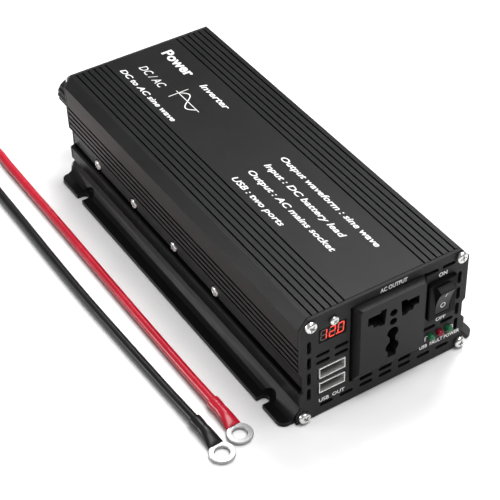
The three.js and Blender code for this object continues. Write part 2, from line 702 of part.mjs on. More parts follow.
function fan() {
  const { z, side, depth, openingRadius, hubRadius, bladeCount } = FAN;
  const screwHoles = [[-16, -16], [16, -16], [-16, 16], [16, 16]].map(([x, dz]) => disc(x, dz, 1.6));
  const openings = [disc(0, 0, openingRadius, 32), ...screwHoles];
  const square = pierced(roundedRectangle(0, 0, side, side, 3, 3), openings, 0, depth);
  const [armThickness, armReach] = [1.4, openingRadius + 0.3];
  const arms = [45, 135].map((degrees) => (
    box(-armReach, armReach, 0, armThickness, -1, 1).rotateY(THREE.MathUtils.degToRad(degrees))
  ));
  const motorPlate = rodY(hubRadius, 0, armThickness, 20);
  const frame = part('fan_frame', join(square, motorPlate, ...arms), blackPlastic);

  const hub = turned([
    [0, 1.8],
    [hubRadius, 1.8],
    [hubRadius, depth - 1.2],
    [hubRadius - 0.8, depth - 0.4],
    [0, depth - 0.4],
  ], 20);
  const blades = Array.from({ length: bladeCount }, (_, i) => fanBlade((i / bladeCount) * Math.PI * 2));
  const rotor = part('fan_rotor', join(hub, ...blades), blackPlastic);
  return groupAt(0, SHELL_REAR - depth - GAP, z, frame, rotor);
}

// ---------------------------------------------------------------- electronics

function electronics() {
  const { bottomZ, thickness, halfWidth, front, rear } = BOARD;
  const top = bottomZ + thickness;
  const mainBoard = part('main_board', box(-halfWidth, halfWidth, front, rear, bottomZ, top), boardGreen);

  const [coreLength, coreWidth, coreHeight] = [34, 30, 26];
  const base = top + GAP;
  const core = box(-coreWidth / 2, coreWidth / 2, -6, 6, base, base + coreHeight);
  const winding = box(-10, 10, -coreLength / 2, coreLength / 2, base + 3, base + coreHeight - 3);
  const transformer = part('transformer', join(core, winding), ferrite);
  transformer.position.set(4, -10, 0);

  const bar = box(-35, -30.4, -60, 70, base, base + 15);
  const slots = [-40, 0, 40].map((y) => box(-32.6, -29, y - 4, y + 4, base + 3, base + 12));
  const heatBar = part('heat_bar', cut(bar, slots), bareAluminium);

  const upright = box(-36.2, -16.6, FRONT + 14.4, FRONT + 14.4 + thickness, base, 49.5);
  const frontBoard = part('front_board', upright, boardGreen);
  return [mainBoard, transformer, heatBar, frontBoard];
}

// ---------------------------------------------------------------- battery leads

// The routes lie on the surface beside the case, from the ring lug at the front round a bend and back.
const RED_ROUTE = [
  [-68.3, -79.8, 2.8], [-68.5, -70, 2.7], [-68.7, -55, 2.35], [-68.9, -35, 2.3], [-69.1, -5, 2.3],
  [-69.2, 30, 2.3], [-69.3, 65, 2.3], [-69.5, 100, 2.3], [-69.6, 125, 2.3], [-69.6, 141, 2.3],
  [-72.5, 155.5, 2.3], [-80.7, 167.9, 2.3], [-93.1, 176.1, 2.3], [-107.6, 179, 2.3],
  [-122.1, 176.1, 2.3], [-134.5, 167.9, 2.3], [-142.7, 155.5, 2.3], [-145.6, 141, 2.3],
  [-145.7, 127, 2.3], [-145.7, 112, 2.35], [-145.7, 98, 2.7], [-145.7, 86, 2.8],
];
const BLACK_ROUTE = [
  [-80.3, -84.9, 2.8], [-80.7, -75, 2.7], [-81.3, -60, 2.35], [-82, -40, 2.3], [-82.9, -12, 2.3],
  [-83.6, 15, 2.3], [-83.8, 45, 2.3], [-83.6, 80, 2.3], [-83.5, 110, 2.3], [-83.6, 128, 2.3],
  [-83.6, 141, 2.3], [-85.4, 150.2, 2.3], [-90.6, 158, 2.3], [-98.4, 163.2, 2.3], [-107.6, 165, 2.3],
  [-116.8, 163.2, 2.3], [-124.6, 158, 2.3], [-129.8, 150.2, 2.3], [-131.6, 141, 2.3],
  [-131.6, 120, 2.3], [-131.6, 98, 2.3], [-131.6, 76, 2.35], [-131.6, 61, 2.7], [-131.6, 49, 2.8],
];

function leadTube(name, points, cover) {
  const route = new THREE.CatmullRomCurve3(points.map((p) => new THREE.Vector3(...p)), false, 'centripetal');
  const section = outline(Array.from({ length: LEAD.sides }, (_, i) => {
    const angle = ((i + 0.5) / LEAD.sides) * Math.PI * 2;
    return [LEAD.radius * Math.cos(angle), LEAD.radius * Math.sin(angle)];
  }));
  const tube = new THREE.ExtrudeGeometry(section, { steps: 40, bevelEnabled: false, extrudePath: route });
  return part(name, tube, cover);
}

// A ring lug with its barrel along +Y from the origin of the group, which is the middle of the ring.
function ringLug(name) {
  const { ringRadius, holeRadius, thickness, barrelRadius, barrelLength } = LUG;
  const hole = alongZ(disc(0, 0, holeRadius, 20), -1, thickness + 1);
  const ring = cut(alongZ(disc(0, 0, ringRadius, 28), 0, thickness), [hole]);
  const tongue = box(-1.4, 1.4, holeRadius + 1, ringRadius + 3, 0, thickness);
  const bore = 1.5;
  const barrel = turned([
    [bore, ringRadius + 1],
    [barrelRadius, ringRadius + 1],
    [barrelRadius, ringRadius + barrelLength],
    [bore, ringRadius + barrelLength],
    [bore, ringRadius + 1],
  ], 14).translate(0, 0, barrelRadius - 0.1);
  return part(name, join(ring, tongue, barrel), zinc);
}

function ellipseLoop(radiusX, radiusZ, y, z) {
  return Array.from({ length: 14 }, (_, i) => {
    const angle = (i / 14) * Math.PI * 2;
    return new THREE.Vector3(radiusX * Math.cos(angle), y, z + radiusZ * Math.sin(angle));
  });
}

// The heat-shrink sleeve over a lug's barrel: flat and wide at the ring, round on the lead.
function sleeve(name, cover) {
  const start = LUG.ringRadius + GAP;
  const centreZ = LUG.barrelRadius - 0.1;
  const wall = 0.3;
  const stations = [
    [0, 3.6, 2.65], [0.22, 3.2, 2.65], [0.45, 2.85, 2.65], [0.75, 2.8, 2.65], [1, 2.75, 2.65],
  ];
  const loops = (inset, overrun) => stations.map(([share, radiusX, radiusZ], i) => {
    const end = i === 0 ? -overrun : i === stations.length - 1 ? overrun : 0;
    return ellipseLoop(radiusX - inset, radiusZ - inset, start + share * LEAD.sleeveLength + end, centreZ);
  });
  return part(name, cut(skinned(loops(0, 0)), [skinned(loops(wall, 1))]), cover);
}

function leadEnd(name, ringCentre, headingDegrees, cover) {
  const end = groupAt(...ringCentre, ringLug(`${name}_lug`), sleeve(`${name}_sleeve`, cover));
  end.rotation.z = THREE.MathUtils.degToRad(headingDegrees);
  return end;
}

function batteryLeads() {
  return [
    leadTube('lead_positive', RED_ROUTE, redCover),
    leadTube('lead_negative', BLACK_ROUTE, blackCover),
    leadEnd('lead_positive_front', [-67.9, -95.6, 0.8], 1.5, redCover),
    leadEnd('lead_positive_far', [-145.7, 70.9, 0.8], 0, redCover),
    leadEnd('lead_negative_front', [-79.6, -100.6, 0.8], 2.5, blackCover),
    leadEnd('lead_negative_far', [-131.6, 33.9, 0.8], 0, blackCover),
  ];
}

// ---------------------------------------------------------------- assembly

const inverter = new THREE.Group();
inverter.add(
  topShell(),
  baseShell(),
  frontPanel(),
  rearPanel(),
  ...panelScrews('front'),
  ...panelScrews('rear'),
  ...sideScrews(),
  acOutlet(),
  powerSwitch(),
  ...voltmeter(),
  ...indicatorLights(),
  ...usbPorts(),
  terminal(-1, 'negative', blackPlastic),
  terminal(1, 'positive', redPlastic),
  fan(),
  ...electronics(),
  ...batteryLeads(),
);

export default inverter;
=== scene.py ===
"""The looks of a small DC to AC power inverter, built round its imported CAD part.

Metres throughout, in the CAD part's frame: X to the right seen from the front, Y to the rear, Z up.
"""

import json
import math

import bmesh
import bpy
from mathutils import Matrix, Vector
from mathutils.bvhtree import BVHTree

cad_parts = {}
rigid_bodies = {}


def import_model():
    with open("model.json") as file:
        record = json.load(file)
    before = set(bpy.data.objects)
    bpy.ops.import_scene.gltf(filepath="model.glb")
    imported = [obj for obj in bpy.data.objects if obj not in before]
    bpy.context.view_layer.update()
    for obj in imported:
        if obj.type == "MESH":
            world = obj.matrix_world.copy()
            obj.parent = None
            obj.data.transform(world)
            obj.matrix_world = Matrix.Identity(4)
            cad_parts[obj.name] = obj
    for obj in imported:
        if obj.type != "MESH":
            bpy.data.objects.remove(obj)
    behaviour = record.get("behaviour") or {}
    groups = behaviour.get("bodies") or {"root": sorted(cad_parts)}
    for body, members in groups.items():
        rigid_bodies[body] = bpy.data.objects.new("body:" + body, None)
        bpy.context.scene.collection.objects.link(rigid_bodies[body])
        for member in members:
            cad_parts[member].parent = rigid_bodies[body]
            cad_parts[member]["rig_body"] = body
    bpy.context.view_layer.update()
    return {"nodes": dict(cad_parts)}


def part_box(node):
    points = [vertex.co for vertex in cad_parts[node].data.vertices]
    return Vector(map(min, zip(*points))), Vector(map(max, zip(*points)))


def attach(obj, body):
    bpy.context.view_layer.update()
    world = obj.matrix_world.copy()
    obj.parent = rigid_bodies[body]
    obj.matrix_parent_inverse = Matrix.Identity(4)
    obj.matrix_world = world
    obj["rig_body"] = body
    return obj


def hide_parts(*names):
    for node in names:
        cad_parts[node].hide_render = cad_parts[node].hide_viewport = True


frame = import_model()
nodes = frame["nodes"]

MM = 0.001
FRONT = -104.2 * MM  # outer face of the front panel
REAR = 104.2 * MM  # outer face of the rear panel
TOP = 58.35 * MM
INK = 0.03 * MM  # how far printed marks stand out


# ---------------------------------------------------------------- camera

def place_camera():
    data = bpy.data.cameras.new("camera")
    data.lens = 108.13
    data.sensor_width = 36
    data.clip_start = 0.01
    data.clip_end = 20
    camera = bpy.data.objects.new("camera", data)
    right = Vector((0.84462521, -0.53483826, -0.02358579))
    up = Vector((0.3662727, 0.54516971, 0.75407844))
    back = Vector((-0.39045175, -0.64555249, 0.65636073))
    turn = Matrix((right, up, back)).transposed()
    camera.matrix_world = Matrix.Translation((-0.2826, -0.4635, 0.4738)) @ turn.to_4x4()
    bpy.context.scene.collection.objects.link(camera)
    bpy.context.scene.camera = camera


# ---------------------------------------------------------------- materials

class Nodes:
    """A material's node tree with short calls for the nodes used here."""

    def __init__(self, name):
        self.material = bpy.data.materials.new(name)
        self.material.use_nodes = True
        self.tree = self.material.node_tree
        self.shader = self.tree.nodes["Principled BSDF"]

    def add(self, kind, **settings):
        node = self.tree.nodes.new("ShaderNode" + kind)
        for key, value in settings.items():
            setattr(node, key, value)
        return node

    def link(self, source, target):
        self.tree.links.new(source, target)

    def place(self, stretch=(1, 1, 1)):
        """Object coordinates, stretched along the axes."""
        where = self.add("TexCoord")
        mapping = self.add("Mapping")
        mapping.inputs["Scale"].default_value = stretch
        self.link(where.outputs["Object"], mapping.inputs["Vector"])
        return mapping.outputs["Vector"]

    def noise(self, scale, detail=3, stretch=(1, 1, 1)):
        node = self.add("TexNoise")
        node.inputs["Scale"].default_value = scale
        node.inputs["Detail"].default_value = detail
        node.inputs["Roughness"].default_value = 0.55
        self.link(self.place(stretch), node.inputs["Vector"])
        return node.outputs["Fac"]

    def ramp(self, value, stops):
        """A colour ramp; stops are (position, colour)."""
        node = self.add("ValToRGB")
        ramp = node.color_ramp
        while len(ramp.elements) < len(stops):
            ramp.elements.new(0.5)
        for element, (position, colour) in zip(ramp.elements, stops):
            element.position = position
            element.color = (*colour, 1)
        self.link(value, node.inputs["Fac"])
        return node.outputs["Color"]

    def spread(self, value, low, high, start=0.3, end=0.7):
        node = self.add("MapRange")
        node.inputs["From Min"].default_value = start
        node.inputs["From Max"].default_value = end
        node.inputs["To Min"].default_value = low
        node.inputs["To Max"].default_value = high
        self.link(value, node.inputs["Value"])
        return node.outputs["Result"]

    def mix(self, factor, first, second):
        node = self.add("Mix", data_type="RGBA")
        self.link(factor, node.inputs["Factor"])
        self.link(first, node.inputs["A"])
        self.link(second, node.inputs["B"])
        return node.outputs["Result"]

    def add_values(self, first, second, share):
        node = self.add("Math", operation="MULTIPLY_ADD")
        self.link(second, node.inputs[0])
        node.inputs[1].default_value = share
        self.link(first, node.inputs[2])
        return node.outputs["Value"]

    def edges(self, radius):
        """1 at edges, where wear and a painted highlight go, and 0 on flat faces."""
        bevel = self.add("Bevel", samples=4)
        bevel.inputs["Radius"].default_value = radius
        geometry = self.add("NewGeometry")
        dot = self.add("VectorMath", operation="DOT_PRODUCT")
        self.link(bevel.outputs["Normal"], dot.inputs[0])
        self.link(geometry.outputs["Normal"], dot.inputs[1])
        return self.spread(dot.outputs["Value"], 1, 0, 0.8, 0.99)

    def bump(self, height, distance):
        node = self.add("Bump")
        node.inputs["Strength"].default_value = 1
        node.inputs["Distance"].default_value = distance
        self.link(height, node.inputs["Height"])
        self.link(node.outputs["Normal"], self.shader.inputs["Normal"])

    def base(self, colour):
        self.link(colour, self.shader.inputs["Base Color"])

    def roughness(self, value):
        self.link(value, self.shader.inputs["Roughness"])

    def set(self, **values):
        for key, value in values.items():
            self.shader.inputs[key.replace("_", " ")].default_value = value


def grained(name, dark, light, grain, grain_depth, rough, stretch=(1, 1, 1), edge_wear_and_highlight=None, **values):
    """A surface with cloudy colour, fine grain in its bump and roughness, and optional edges lightened in
    patches, partly as wear and partly as a painted highlight.
    """
    n = Nodes(name)
    clouds = n.noise(40, 4)
    fine = n.noise(grain, 3, stretch)
    colour = n.ramp(n.add_values(clouds, fine, 0.35), [(0.35, dark), (0.95, light)])
    if edge_wear_and_highlight:
        # Edges lightened in patches towards a lighter colour: partly wear, partly a painted highlight along
        # the edges.
        worn_and_lit_edges = n.edges(0.35 * MM)
        patchy = n.add("Math", operation="MULTIPLY")
        n.link(worn_and_lit_edges, patchy.inputs[0])
        n.link(n.spread(n.noise(300, 4), 0.15, 1), patchy.inputs[1])
        wear_and_highlight_tint = n.add("RGB")
        wear_and_highlight_tint.outputs[0].default_value = (*edge_wear_and_highlight, 1)
        colour = n.mix(patchy.outputs["Value"], colour, wear_and_highlight_tint.outputs[0])
    n.base(colour)
    n.roughness(n.spread(n.add_values(clouds, fine, 0.5), rough[0], rough[1], 0.4, 1.0))
    n.bump(fine, grain_depth)
    n.set(**values)
    return n.material


def glowing(name, colour, strength):
    n = Nodes(name)
    n.base(n.ramp(n.noise(900, 2), [(0.2, tuple(c * 0.85 for c in colour)), (0.8, colour)]))
    n.roughness(n.spread(n.noise(500, 2), 0.2, 0.35))
    n.set(Emission_Color=(*colour, 1), Emission_Strength=strength)
    return n.material


def make_materials():
    # The edge colour given to the case and the panel lightens their edges: partly wear, partly a painted
    # highlight.
    streaks = (1, 0.02, 1)
    return {
        "anodised_case": grained(
            "anodised_aluminium", (0.0035, 0.0035, 0.004), (0.007, 0.007, 0.0075), 2600, 0.05 * MM,
            (0.29, 0.38), streaks, edge_wear_and_highlight=(0.03, 0.03, 0.032), Specular_IOR_Level=0.115),
        "panel_paint": grained(
            "panel_paint", (0.008, 0.008, 0.0085), (0.017, 0.017, 0.018), 3200, 0.12 * MM,
            (0.42, 0.58), edge_wear_and_highlight=(0.03, 0.03, 0.03), Specular_IOR_Level=0.18),
        "black_plastic": grained(
            "black_moulded_plastic", (0.006, 0.006, 0.0065), (0.012, 0.012, 0.0125), 2200, 0.06 * MM,
            (0.34, 0.48), Specular_IOR_Level=0.18),
        "glossy_black_plastic": grained(
            "glossy_black_plastic", (0.002, 0.002, 0.002), (0.004, 0.004, 0.004), 2200, 0.02 * MM,
            (0.3, 0.4), Specular_IOR_Level=0.06),
        "red_plastic": grained(
            "red_moulded_plastic", (0.36, 0.008, 0.012), (0.5, 0.016, 0.02), 2200, 0.05 * MM, (0.28, 0.45)),
        "brass": grained(
            "brass", (0.5, 0.33, 0.1), (0.72, 0.52, 0.2), 1500, 0.03 * MM, (0.22, 0.42), Metallic=1.0),
        "zinc_plated_steel": grained(
            "zinc_plated_steel", (0.55, 0.55, 0.54), (0.82, 0.82, 0.8), 1800, 0.02 * MM,
            (0.16, 0.34), Metallic=1.0),
        "tinned_copper": grained(
            "tinned_copper", (0.34, 0.34, 0.34), (0.5, 0.5, 0.5), 1600, 0.03 * MM,
            (0.34, 0.5), Metallic=1.0),
        "satin_nickel": grained(
            "satin_nickel", (0.74, 0.74, 0.73), (0.88, 0.88, 0.87), 1600, 0.02 * MM,
            (0.24, 0.36), Metallic=0.7),
        "circuit_board": grained(
            "circuit_board", (0.008, 0.07, 0.025), (0.016, 0.12, 0.045), 900, 0.04 * MM, (0.3, 0.5)),
        "ferrite": grained(
            "ferrite_core", (0.02, 0.02, 0.02), (0.05, 0.047, 0.045), 1600, 0.15 * MM, (0.6, 0.85)),
        "bare_aluminium": grained(
            "bare_aluminium", (0.5, 0.5, 0.51), (0.68, 0.68, 0.69), 1800, 0.03 * MM,
            (0.3, 0.5), streaks, Metallic=1.0),
        "red_cable_cover": grained(
            "red_cable_cover", (0.40, 0.004, 0.018), (0.52, 0.008, 0.028), 500, 0.012 * MM,
            (0.2, 0.3), (1, 0.2, 1), Specular_IOR_Level=0.5),
        "black_cable_cover": grained(
            "black_cable_cover", (0.006, 0.006, 0.007), (0.013, 0.013, 0.014), 500, 0.012 * MM,
            (0.26, 0.36), (1, 0.2, 1), Specular_IOR_Level=0.2),
        "red_lens": grained(
            "red_lens", (0.24, 0.008, 0.02), (0.4, 0.02, 0.04), 600, 0.01 * MM, (0.05, 0.14),
            Transmission_Weight=0.25),
        "green_lens": grained(
            "green_lens", (0.006, 0.1, 0.035), (0.02, 0.22, 0.08), 600, 0.01 * MM, (0.05, 0.14),
            Transmission_Weight=0.25),
        "dark_display": grained(
            "dark_display", (0.004, 0.0025, 0.0025), (0.008, 0.005, 0.005), 900, 0.01 * MM, (0.1, 0.2),
            Specular_IOR_Level=0.04),
        "white_ink": grained(
            "white_ink", (0.72, 0.72, 0.71), (0.86, 0.86, 0.85), 2600, 0.02 * MM, (0.45, 0.65)),
        "lit_segment": glowing("lit_segment", (0.85, 0.035, 0.015), 1.3),
        "unlit_segment": grained(
            "unlit_segment", (0.05, 0.03, 0.03), (0.09, 0.06, 0.055), 900, 0.01 * MM, (0.3, 0.5)),
    }


# ---------------------------------------------------------------- pieces

def new_piece(name, mesh, material, body="case"):
    piece = bpy.data.objects.new(name, mesh)
    bpy.context.scene.collection.objects.link(piece)
    mesh.materials.clear()
    mesh.materials.append(material)
    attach(piece, body)
    return piece


def mesh_from(bm, name):
    bmesh.ops.recalc_face_normals(bm, faces=bm.faces)
    mesh = bpy.data.meshes.new(name)
    bm.to_mesh(mesh)
    bm.free()
    return mesh


def shade_smooth(mesh, angle):
    mesh.shade_smooth()
    mesh.set_sharp_from_angle(angle=math.radians(angle))


def node_body(name):
    return nodes[name]["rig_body"]


def refined(node, width, slot, look=None):
    """A copy of a CAD node with softly rounded edges, shown in its place."""
    mesh = nodes[node].data.copy()
    bm = bmesh.new()
    bm.from_mesh(mesh)
    bmesh.ops.remove_doubles(bm, verts=bm.verts, dist=1e-6)
    bmesh.ops.dissolve_limit(bm, angle_limit=math.radians(0.3), verts=bm.verts, edges=bm.edges)
    bm.to_mesh(mesh)
    bm.free()
    shade_smooth(mesh, 25)
    piece = new_piece(node + "_detail", mesh, materials[look or slot], node_body(node))
    bevel = piece.modifiers.new("round_edges", "BEVEL")
    bevel.width = width
    bevel.segments = 2
    bevel.limit_method = "ANGLE"
    bevel.angle_limit = math.radians(25)
    bevel.harden_normals = True
    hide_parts(node)


def skin(bm, rings):
    """Faces between each ring of vertices and the next; a ring may be one vertex repeated."""
    for ring, following in zip(rings, rings[1:]):
        for i in range(len(ring)):
            j = (i + 1) % len(ring)
            corners = dict.fromkeys((ring[i], ring[j], following[j], following[i]))
            if len(corners) > 2:
                bm.faces.new(list(corners))


def ellipse_rings(bm, stations, segments=40):
    """Rings across the Y axis from (y, half width, half height, height of the middle), in millimetres."""
    turns = [2 * math.pi * i / segments for i in range(segments)]
    return [
        [bm.verts.new((rx * MM * math.cos(a), y * MM, (cz + rz * math.sin(a)) * MM)) for a in turns]
        for y, rx, rz, cz in stations
    ]


def lathe(profile, segments):
    """A closed body turned round the Y axis. The profile is (radius, y) and ends on the axis or closes."""
    bm = bmesh.new()
    rings = []
    for radius, y in profile:
        if radius < 1e-7:
            rings.append([bm.verts.new((0, y, 0))] * segments)
            continue
        angles = [2 * math.pi * i / segments for i in range(segments)]
        rings.append([bm.verts.new((radius * math.cos(a), y, radius * math.sin(a))) for a in angles])
    skin(bm, rings)
    bmesh.ops.remove_doubles(bm, verts=bm.verts, dist=1e-7)
    return bm


def placed(bm, position, turn_z=0.0):
    bm.transform(Matrix.Translation(position) @ Matrix.Rotation(turn_z, 4, "Z"))
    return bm


def rounded_profile(points, radius):
    """The profile with its inner corners rounded to about the radius."""
    steps = 4
    result = [points[0]]
    for before, corner, after in zip(points, points[1:], points[2:]):
        c = Vector(corner)
        a, b = Vector(before) - c, Vector(after) - c
        reach = min(radius, a.length * 0.45, b.length * 0.45)
        start, end = c + a.normalized() * reach, c + b.normalized() * reach
        for i in range(steps + 1):
            t = i / steps
            result.append(tuple(start * (1 - t) ** 2 + c * 2 * t * (1 - t) + end * t ** 2))
    result.append(points[-1])
    return result


# ---------------------------------------------------------------- battery leads

LEAD_DIAMETER = 4.5 * MM
RED_ROUTE = [
    (-0.0683, -0.0798, 0.0028), (-0.0685, -0.07, 0.0027), (-0.0687, -0.055, 0.00235),
    (-0.0689, -0.035, 0.0023), (-0.0691, -0.005, 0.0023), (-0.0692, 0.03, 0.0023),
    (-0.0693, 0.065, 0.0023), (-0.0695, 0.1, 0.0023), (-0.0696, 0.125, 0.0023),
    (-0.0696, 0.141, 0.0023), (-0.0725, 0.1555, 0.0023), (-0.0807, 0.1679, 0.0023),
    (-0.0931, 0.1761, 0.0023), (-0.1076, 0.179, 0.0023), (-0.1221, 0.1761, 0.0023),
    (-0.1345, 0.1679, 0.0023), (-0.1427, 0.1555, 0.0023), (-0.1456, 0.141, 0.0023),
    (-0.1457, 0.127, 0.0023), (-0.1457, 0.112, 0.00235), (-0.1457, 0.098, 0.0027),
    (-0.1457, 0.086, 0.0028),
]
BLACK_ROUTE = [
    (-0.0803, -0.0849, 0.0028), (-0.0807, -0.075, 0.0027), (-0.0813, -0.06, 0.00235),
    (-0.082, -0.04, 0.0023), (-0.0829, -0.012, 0.0023), (-0.0836, 0.015, 0.0023),
    (-0.0838, 0.045, 0.0023), (-0.0836, 0.08, 0.0023), (-0.0835, 0.11, 0.0023),
    (-0.0836, 0.128, 0.0023), (-0.0836, 0.141, 0.0023), (-0.0854, 0.1502, 0.0023),
    (-0.0906, 0.158, 0.0023), (-0.0984, 0.1632, 0.0023), (-0.1076, 0.165, 0.0023),
    (-0.1168, 0.1632, 0.0023), (-0.1246, 0.158, 0.0023), (-0.1298, 0.1502, 0.0023),
    (-0.1316, 0.141, 0.0023), (-0.1316, 0.12, 0.0023), (-0.1316, 0.098, 0.0023),
    (-0.1316, 0.076, 0.00235), (-0.1316, 0.061, 0.0027), (-0.1316, 0.049, 0.0028),
]
# Ring centre and heading in degrees of each lug, as in the CAD part.
LEAD_ENDS = {
    "lead_positive_front": ((-0.0679, -0.0956, 0.0008), 1.5),
    "lead_positive_far": ((-0.1457, 0.0709, 0.0008), 0),
    "lead_negative_front": ((-0.0796, -0.1006, 0.0008), 2.5),
    "lead_negative_far": ((-0.1316, 0.0339, 0.0008), 0),
}


def lead_tube(name, route, slot):
    data = bpy.data.curves.new(name + "_cable", "CURVE")
    data.dimensions = "3D"
    data.resolution_u = 8
    data.bevel_depth = LEAD_DIAMETER / 2
    data.bevel_resolution = 7
    data.use_fill_caps = True
    spline = data.splines.new("BEZIER")
    spline.bezier_points.add(len(route) - 1)
    for point, place in zip(spline.bezier_points, route):
        point.co = place
        point.handle_left_type = "AUTO"
        point.handle_right_type = "AUTO"
    cable = bpy.data.objects.new(name + "_cable", data)
    bpy.context.scene.collection.objects.link(cable)
    data.materials.append(materials[slot])
    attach(cable, "case")
    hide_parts(name)
    return cable


def lug_mesh():
    """A stamped ring lug: a rounded ring, its middle at the origin, that rises into a barrel."""
    bm = bmesh.new()
    segments = 64
    centre_z, half = 0.5 * MM, 0.5 * MM
    inner, outer, corner = 3.25 * MM, 5.8 * MM, 0.22 * MM
    section = [
        (inner + corner, half), (outer - corner, half), (outer, half - corner), (outer, corner - half),
        (outer - corner, -half), (inner + corner, -half), (inner, corner - half), (inner, half - corner),
    ]
    rings = []
    for i in range(segments):
        a = 2 * math.pi * i / segments
        rings.append([bm.verts.new((r * math.cos(a), r * math.sin(a), centre_z + z)) for r, z in section])
    skin(bm, rings + [rings[0]])
    barrel = ellipse_rings(bm, [
        (4.4, 2.9, 0.40, 0.5), (6.4, 2.8, 0.42, 0.5), (8.4, 2.5, 0.80, 0.85), (10.5, 2.2, 1.5, 1.4),
        (12.5, 2.1, 2.0, 1.95), (14.8, 2.1, 2.1, 2.0),
    ])
    skin(bm, barrel)
    bm.faces.new(barrel[0])
    bm.faces.new(barrel[-1])
    return bm


def sleeve_mesh():
    """A heat-shrink sleeve: flat and wide at the ring, stepped where the barrel ends, round on the lead."""
    stations = [
        (4.75, 3.58, 0.90, 0.60), (5.2, 3.64, 1.16, 0.74), (6.4, 3.52, 1.56, 1.02),
        (8.0, 3.34, 1.98, 1.40), (9.8, 3.18, 2.36, 1.72), (11.6, 3.08, 2.56, 1.90),
        (13.3, 2.98, 2.64, 1.98), (14.5, 2.80, 2.56, 2.0), (15.4, 2.86, 2.60, 2.0),
        (17.7, 3.02, 2.72, 2.04), (20.3, 3.08, 2.74, 2.06), (20.95, 2.98, 2.64, 2.05),
    ]
    wall = 0.26
    inside = [(y, rx - wall, rz - wall, cz) for y, rx, rz, cz in reversed(stations)]
    bm = bmesh.new()
    rings = ellipse_rings(bm, stations + inside)
    skin(bm, rings + [rings[0]])
    return bm


def lead_end(name, cover_slot):
    centre, heading = LEAD_ENDS[name]
    pieces = []
    for part_name, bm, slot in (("lug", lug_mesh(), "tinned_copper"), ("sleeve", sleeve_mesh(), cover_slot)):
        placed(bm, centre, math.radians(heading))
        mesh = mesh_from(bm, f"{name}_{part_name}_detail")
        shade_smooth(mesh, 40)
        piece = new_piece(f"{name}_{part_name}_detail", mesh, materials[slot], "case")
        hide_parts(f"{name}_{part_name}")
        pieces.append(piece)
    return pieces


def battery_leads():
    for name, route, slot in (
        ("lead_positive", RED_ROUTE, "red_cable_cover"),
        ("lead_negative", BLACK_ROUTE, "black_cable_cover"),
    ):
        cable = lead_tube(name, route, slot)
        ends = lead_end(name + "_front", slot) + lead_end(name + "_far", slot)


# ---------------------------------------------------------------- screws

def screw_mesh(head_radius, head_height, shank_radius, length):
    """A pan-head screw with a pressed cross recess, its seat at y = 0 and its head towards -Y."""
    rings, segments = 22, 64
    arm, half_arm = head_radius * 0.56, head_radius * 0.125
    blend_width = head_radius * 0.07

    def recess(x, z):
        """How deep the cross is here, from 0 outside it to 1 in it."""
        def stroke(along, across):
            inside = min(half_arm - abs(across), arm - abs(along))
            return max(0.0, min(1.0, inside / blend_width + 0.5))
        return max(stroke(x, z), stroke(z, x))

    bm = bmesh.new()
    grid = []
    for i in range(rings + 1):
        radius = head_radius * i / rings
        share = i / rings
        crown = head_height * (0.45 + 0.55 * math.sqrt(max(0.0, 1 - max(0.0, (share - 0.35) / 0.65) ** 2.2)))
        row = []
        for k in range(segments):
            a = 2 * math.pi * k / segments
            x, z = radius * math.cos(a), radius * math.sin(a)
            row.append(bm.verts.new((x, -crown + recess(x, z) * head_height * 0.62, z)))
            if i == 0:
                row = row * segments
                break
        grid.append(row)
    for radius, y in ((head_radius, 0), (shank_radius, 0), (shank_radius, length), (0, length)):
        if radius == 0:
            grid.append([bm.verts.new((0, y, 0))] * segments)
        else:
            angles = [2 * math.pi * k / segments for k in range(segments)]
            grid.append([bm.verts.new((radius * math.cos(a), y, radius * math.sin(a))) for a in angles])
    skin(bm, grid)
    return bm


def screw_piece(node, size, turn_z, spin):
    """A detailed screw in the place of a CAD screw, whose head is towards -Y before it's turned about Z."""
    low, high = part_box(node)
    centre = (low + high) / 2
    outward = Matrix.Rotation(turn_z, 3, "Z") @ Vector((0, -1, 0))
    reach = abs((high - low) @ Vector((abs(outward.x), abs(outward.y), 0))) / 2
    seat = centre + outward * (reach - size[1] * MM)
    bm = screw_mesh(*(value * MM for value in size))
    bm.transform(Matrix.Rotation(spin, 4, "Y"))
    placed(bm, seat, turn_z)
    mesh = mesh_from(bm, node + "_detail")
    shade_smooth(mesh, 50)
    piece = new_piece(node + "_detail", mesh, materials["zinc_plated_steel"], "case")
    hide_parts(node)


def screws():
    big, side, small = (2.7, 1.9, 1.3, 8), (2.6, 1.6, 1.3, 5.4), (2.15, 1.4, 0.95, 5)
    spin = 0.6  # how far round each screw's cross has ended up, in radians
    for end, turn in (("front", 0.0), ("rear", math.pi)):
        for place in ("upper_left", "upper_right", "lower_left", "lower_right"):
            screw_piece(f"{end}_screw_{place}", big, turn, spin)
            spin += 0.9
    for side_name, turn in (("left", -math.pi / 2), ("right", math.pi / 2)):
        for i in range(1, 5):
            screw_piece(f"{side_name}_side_screw_{i}", side, turn, spin)
            spin += 0.7
    screw_piece("voltmeter_screw", small, 0.0, 0.9)


# ---------------------------------------------------------------- printed marks

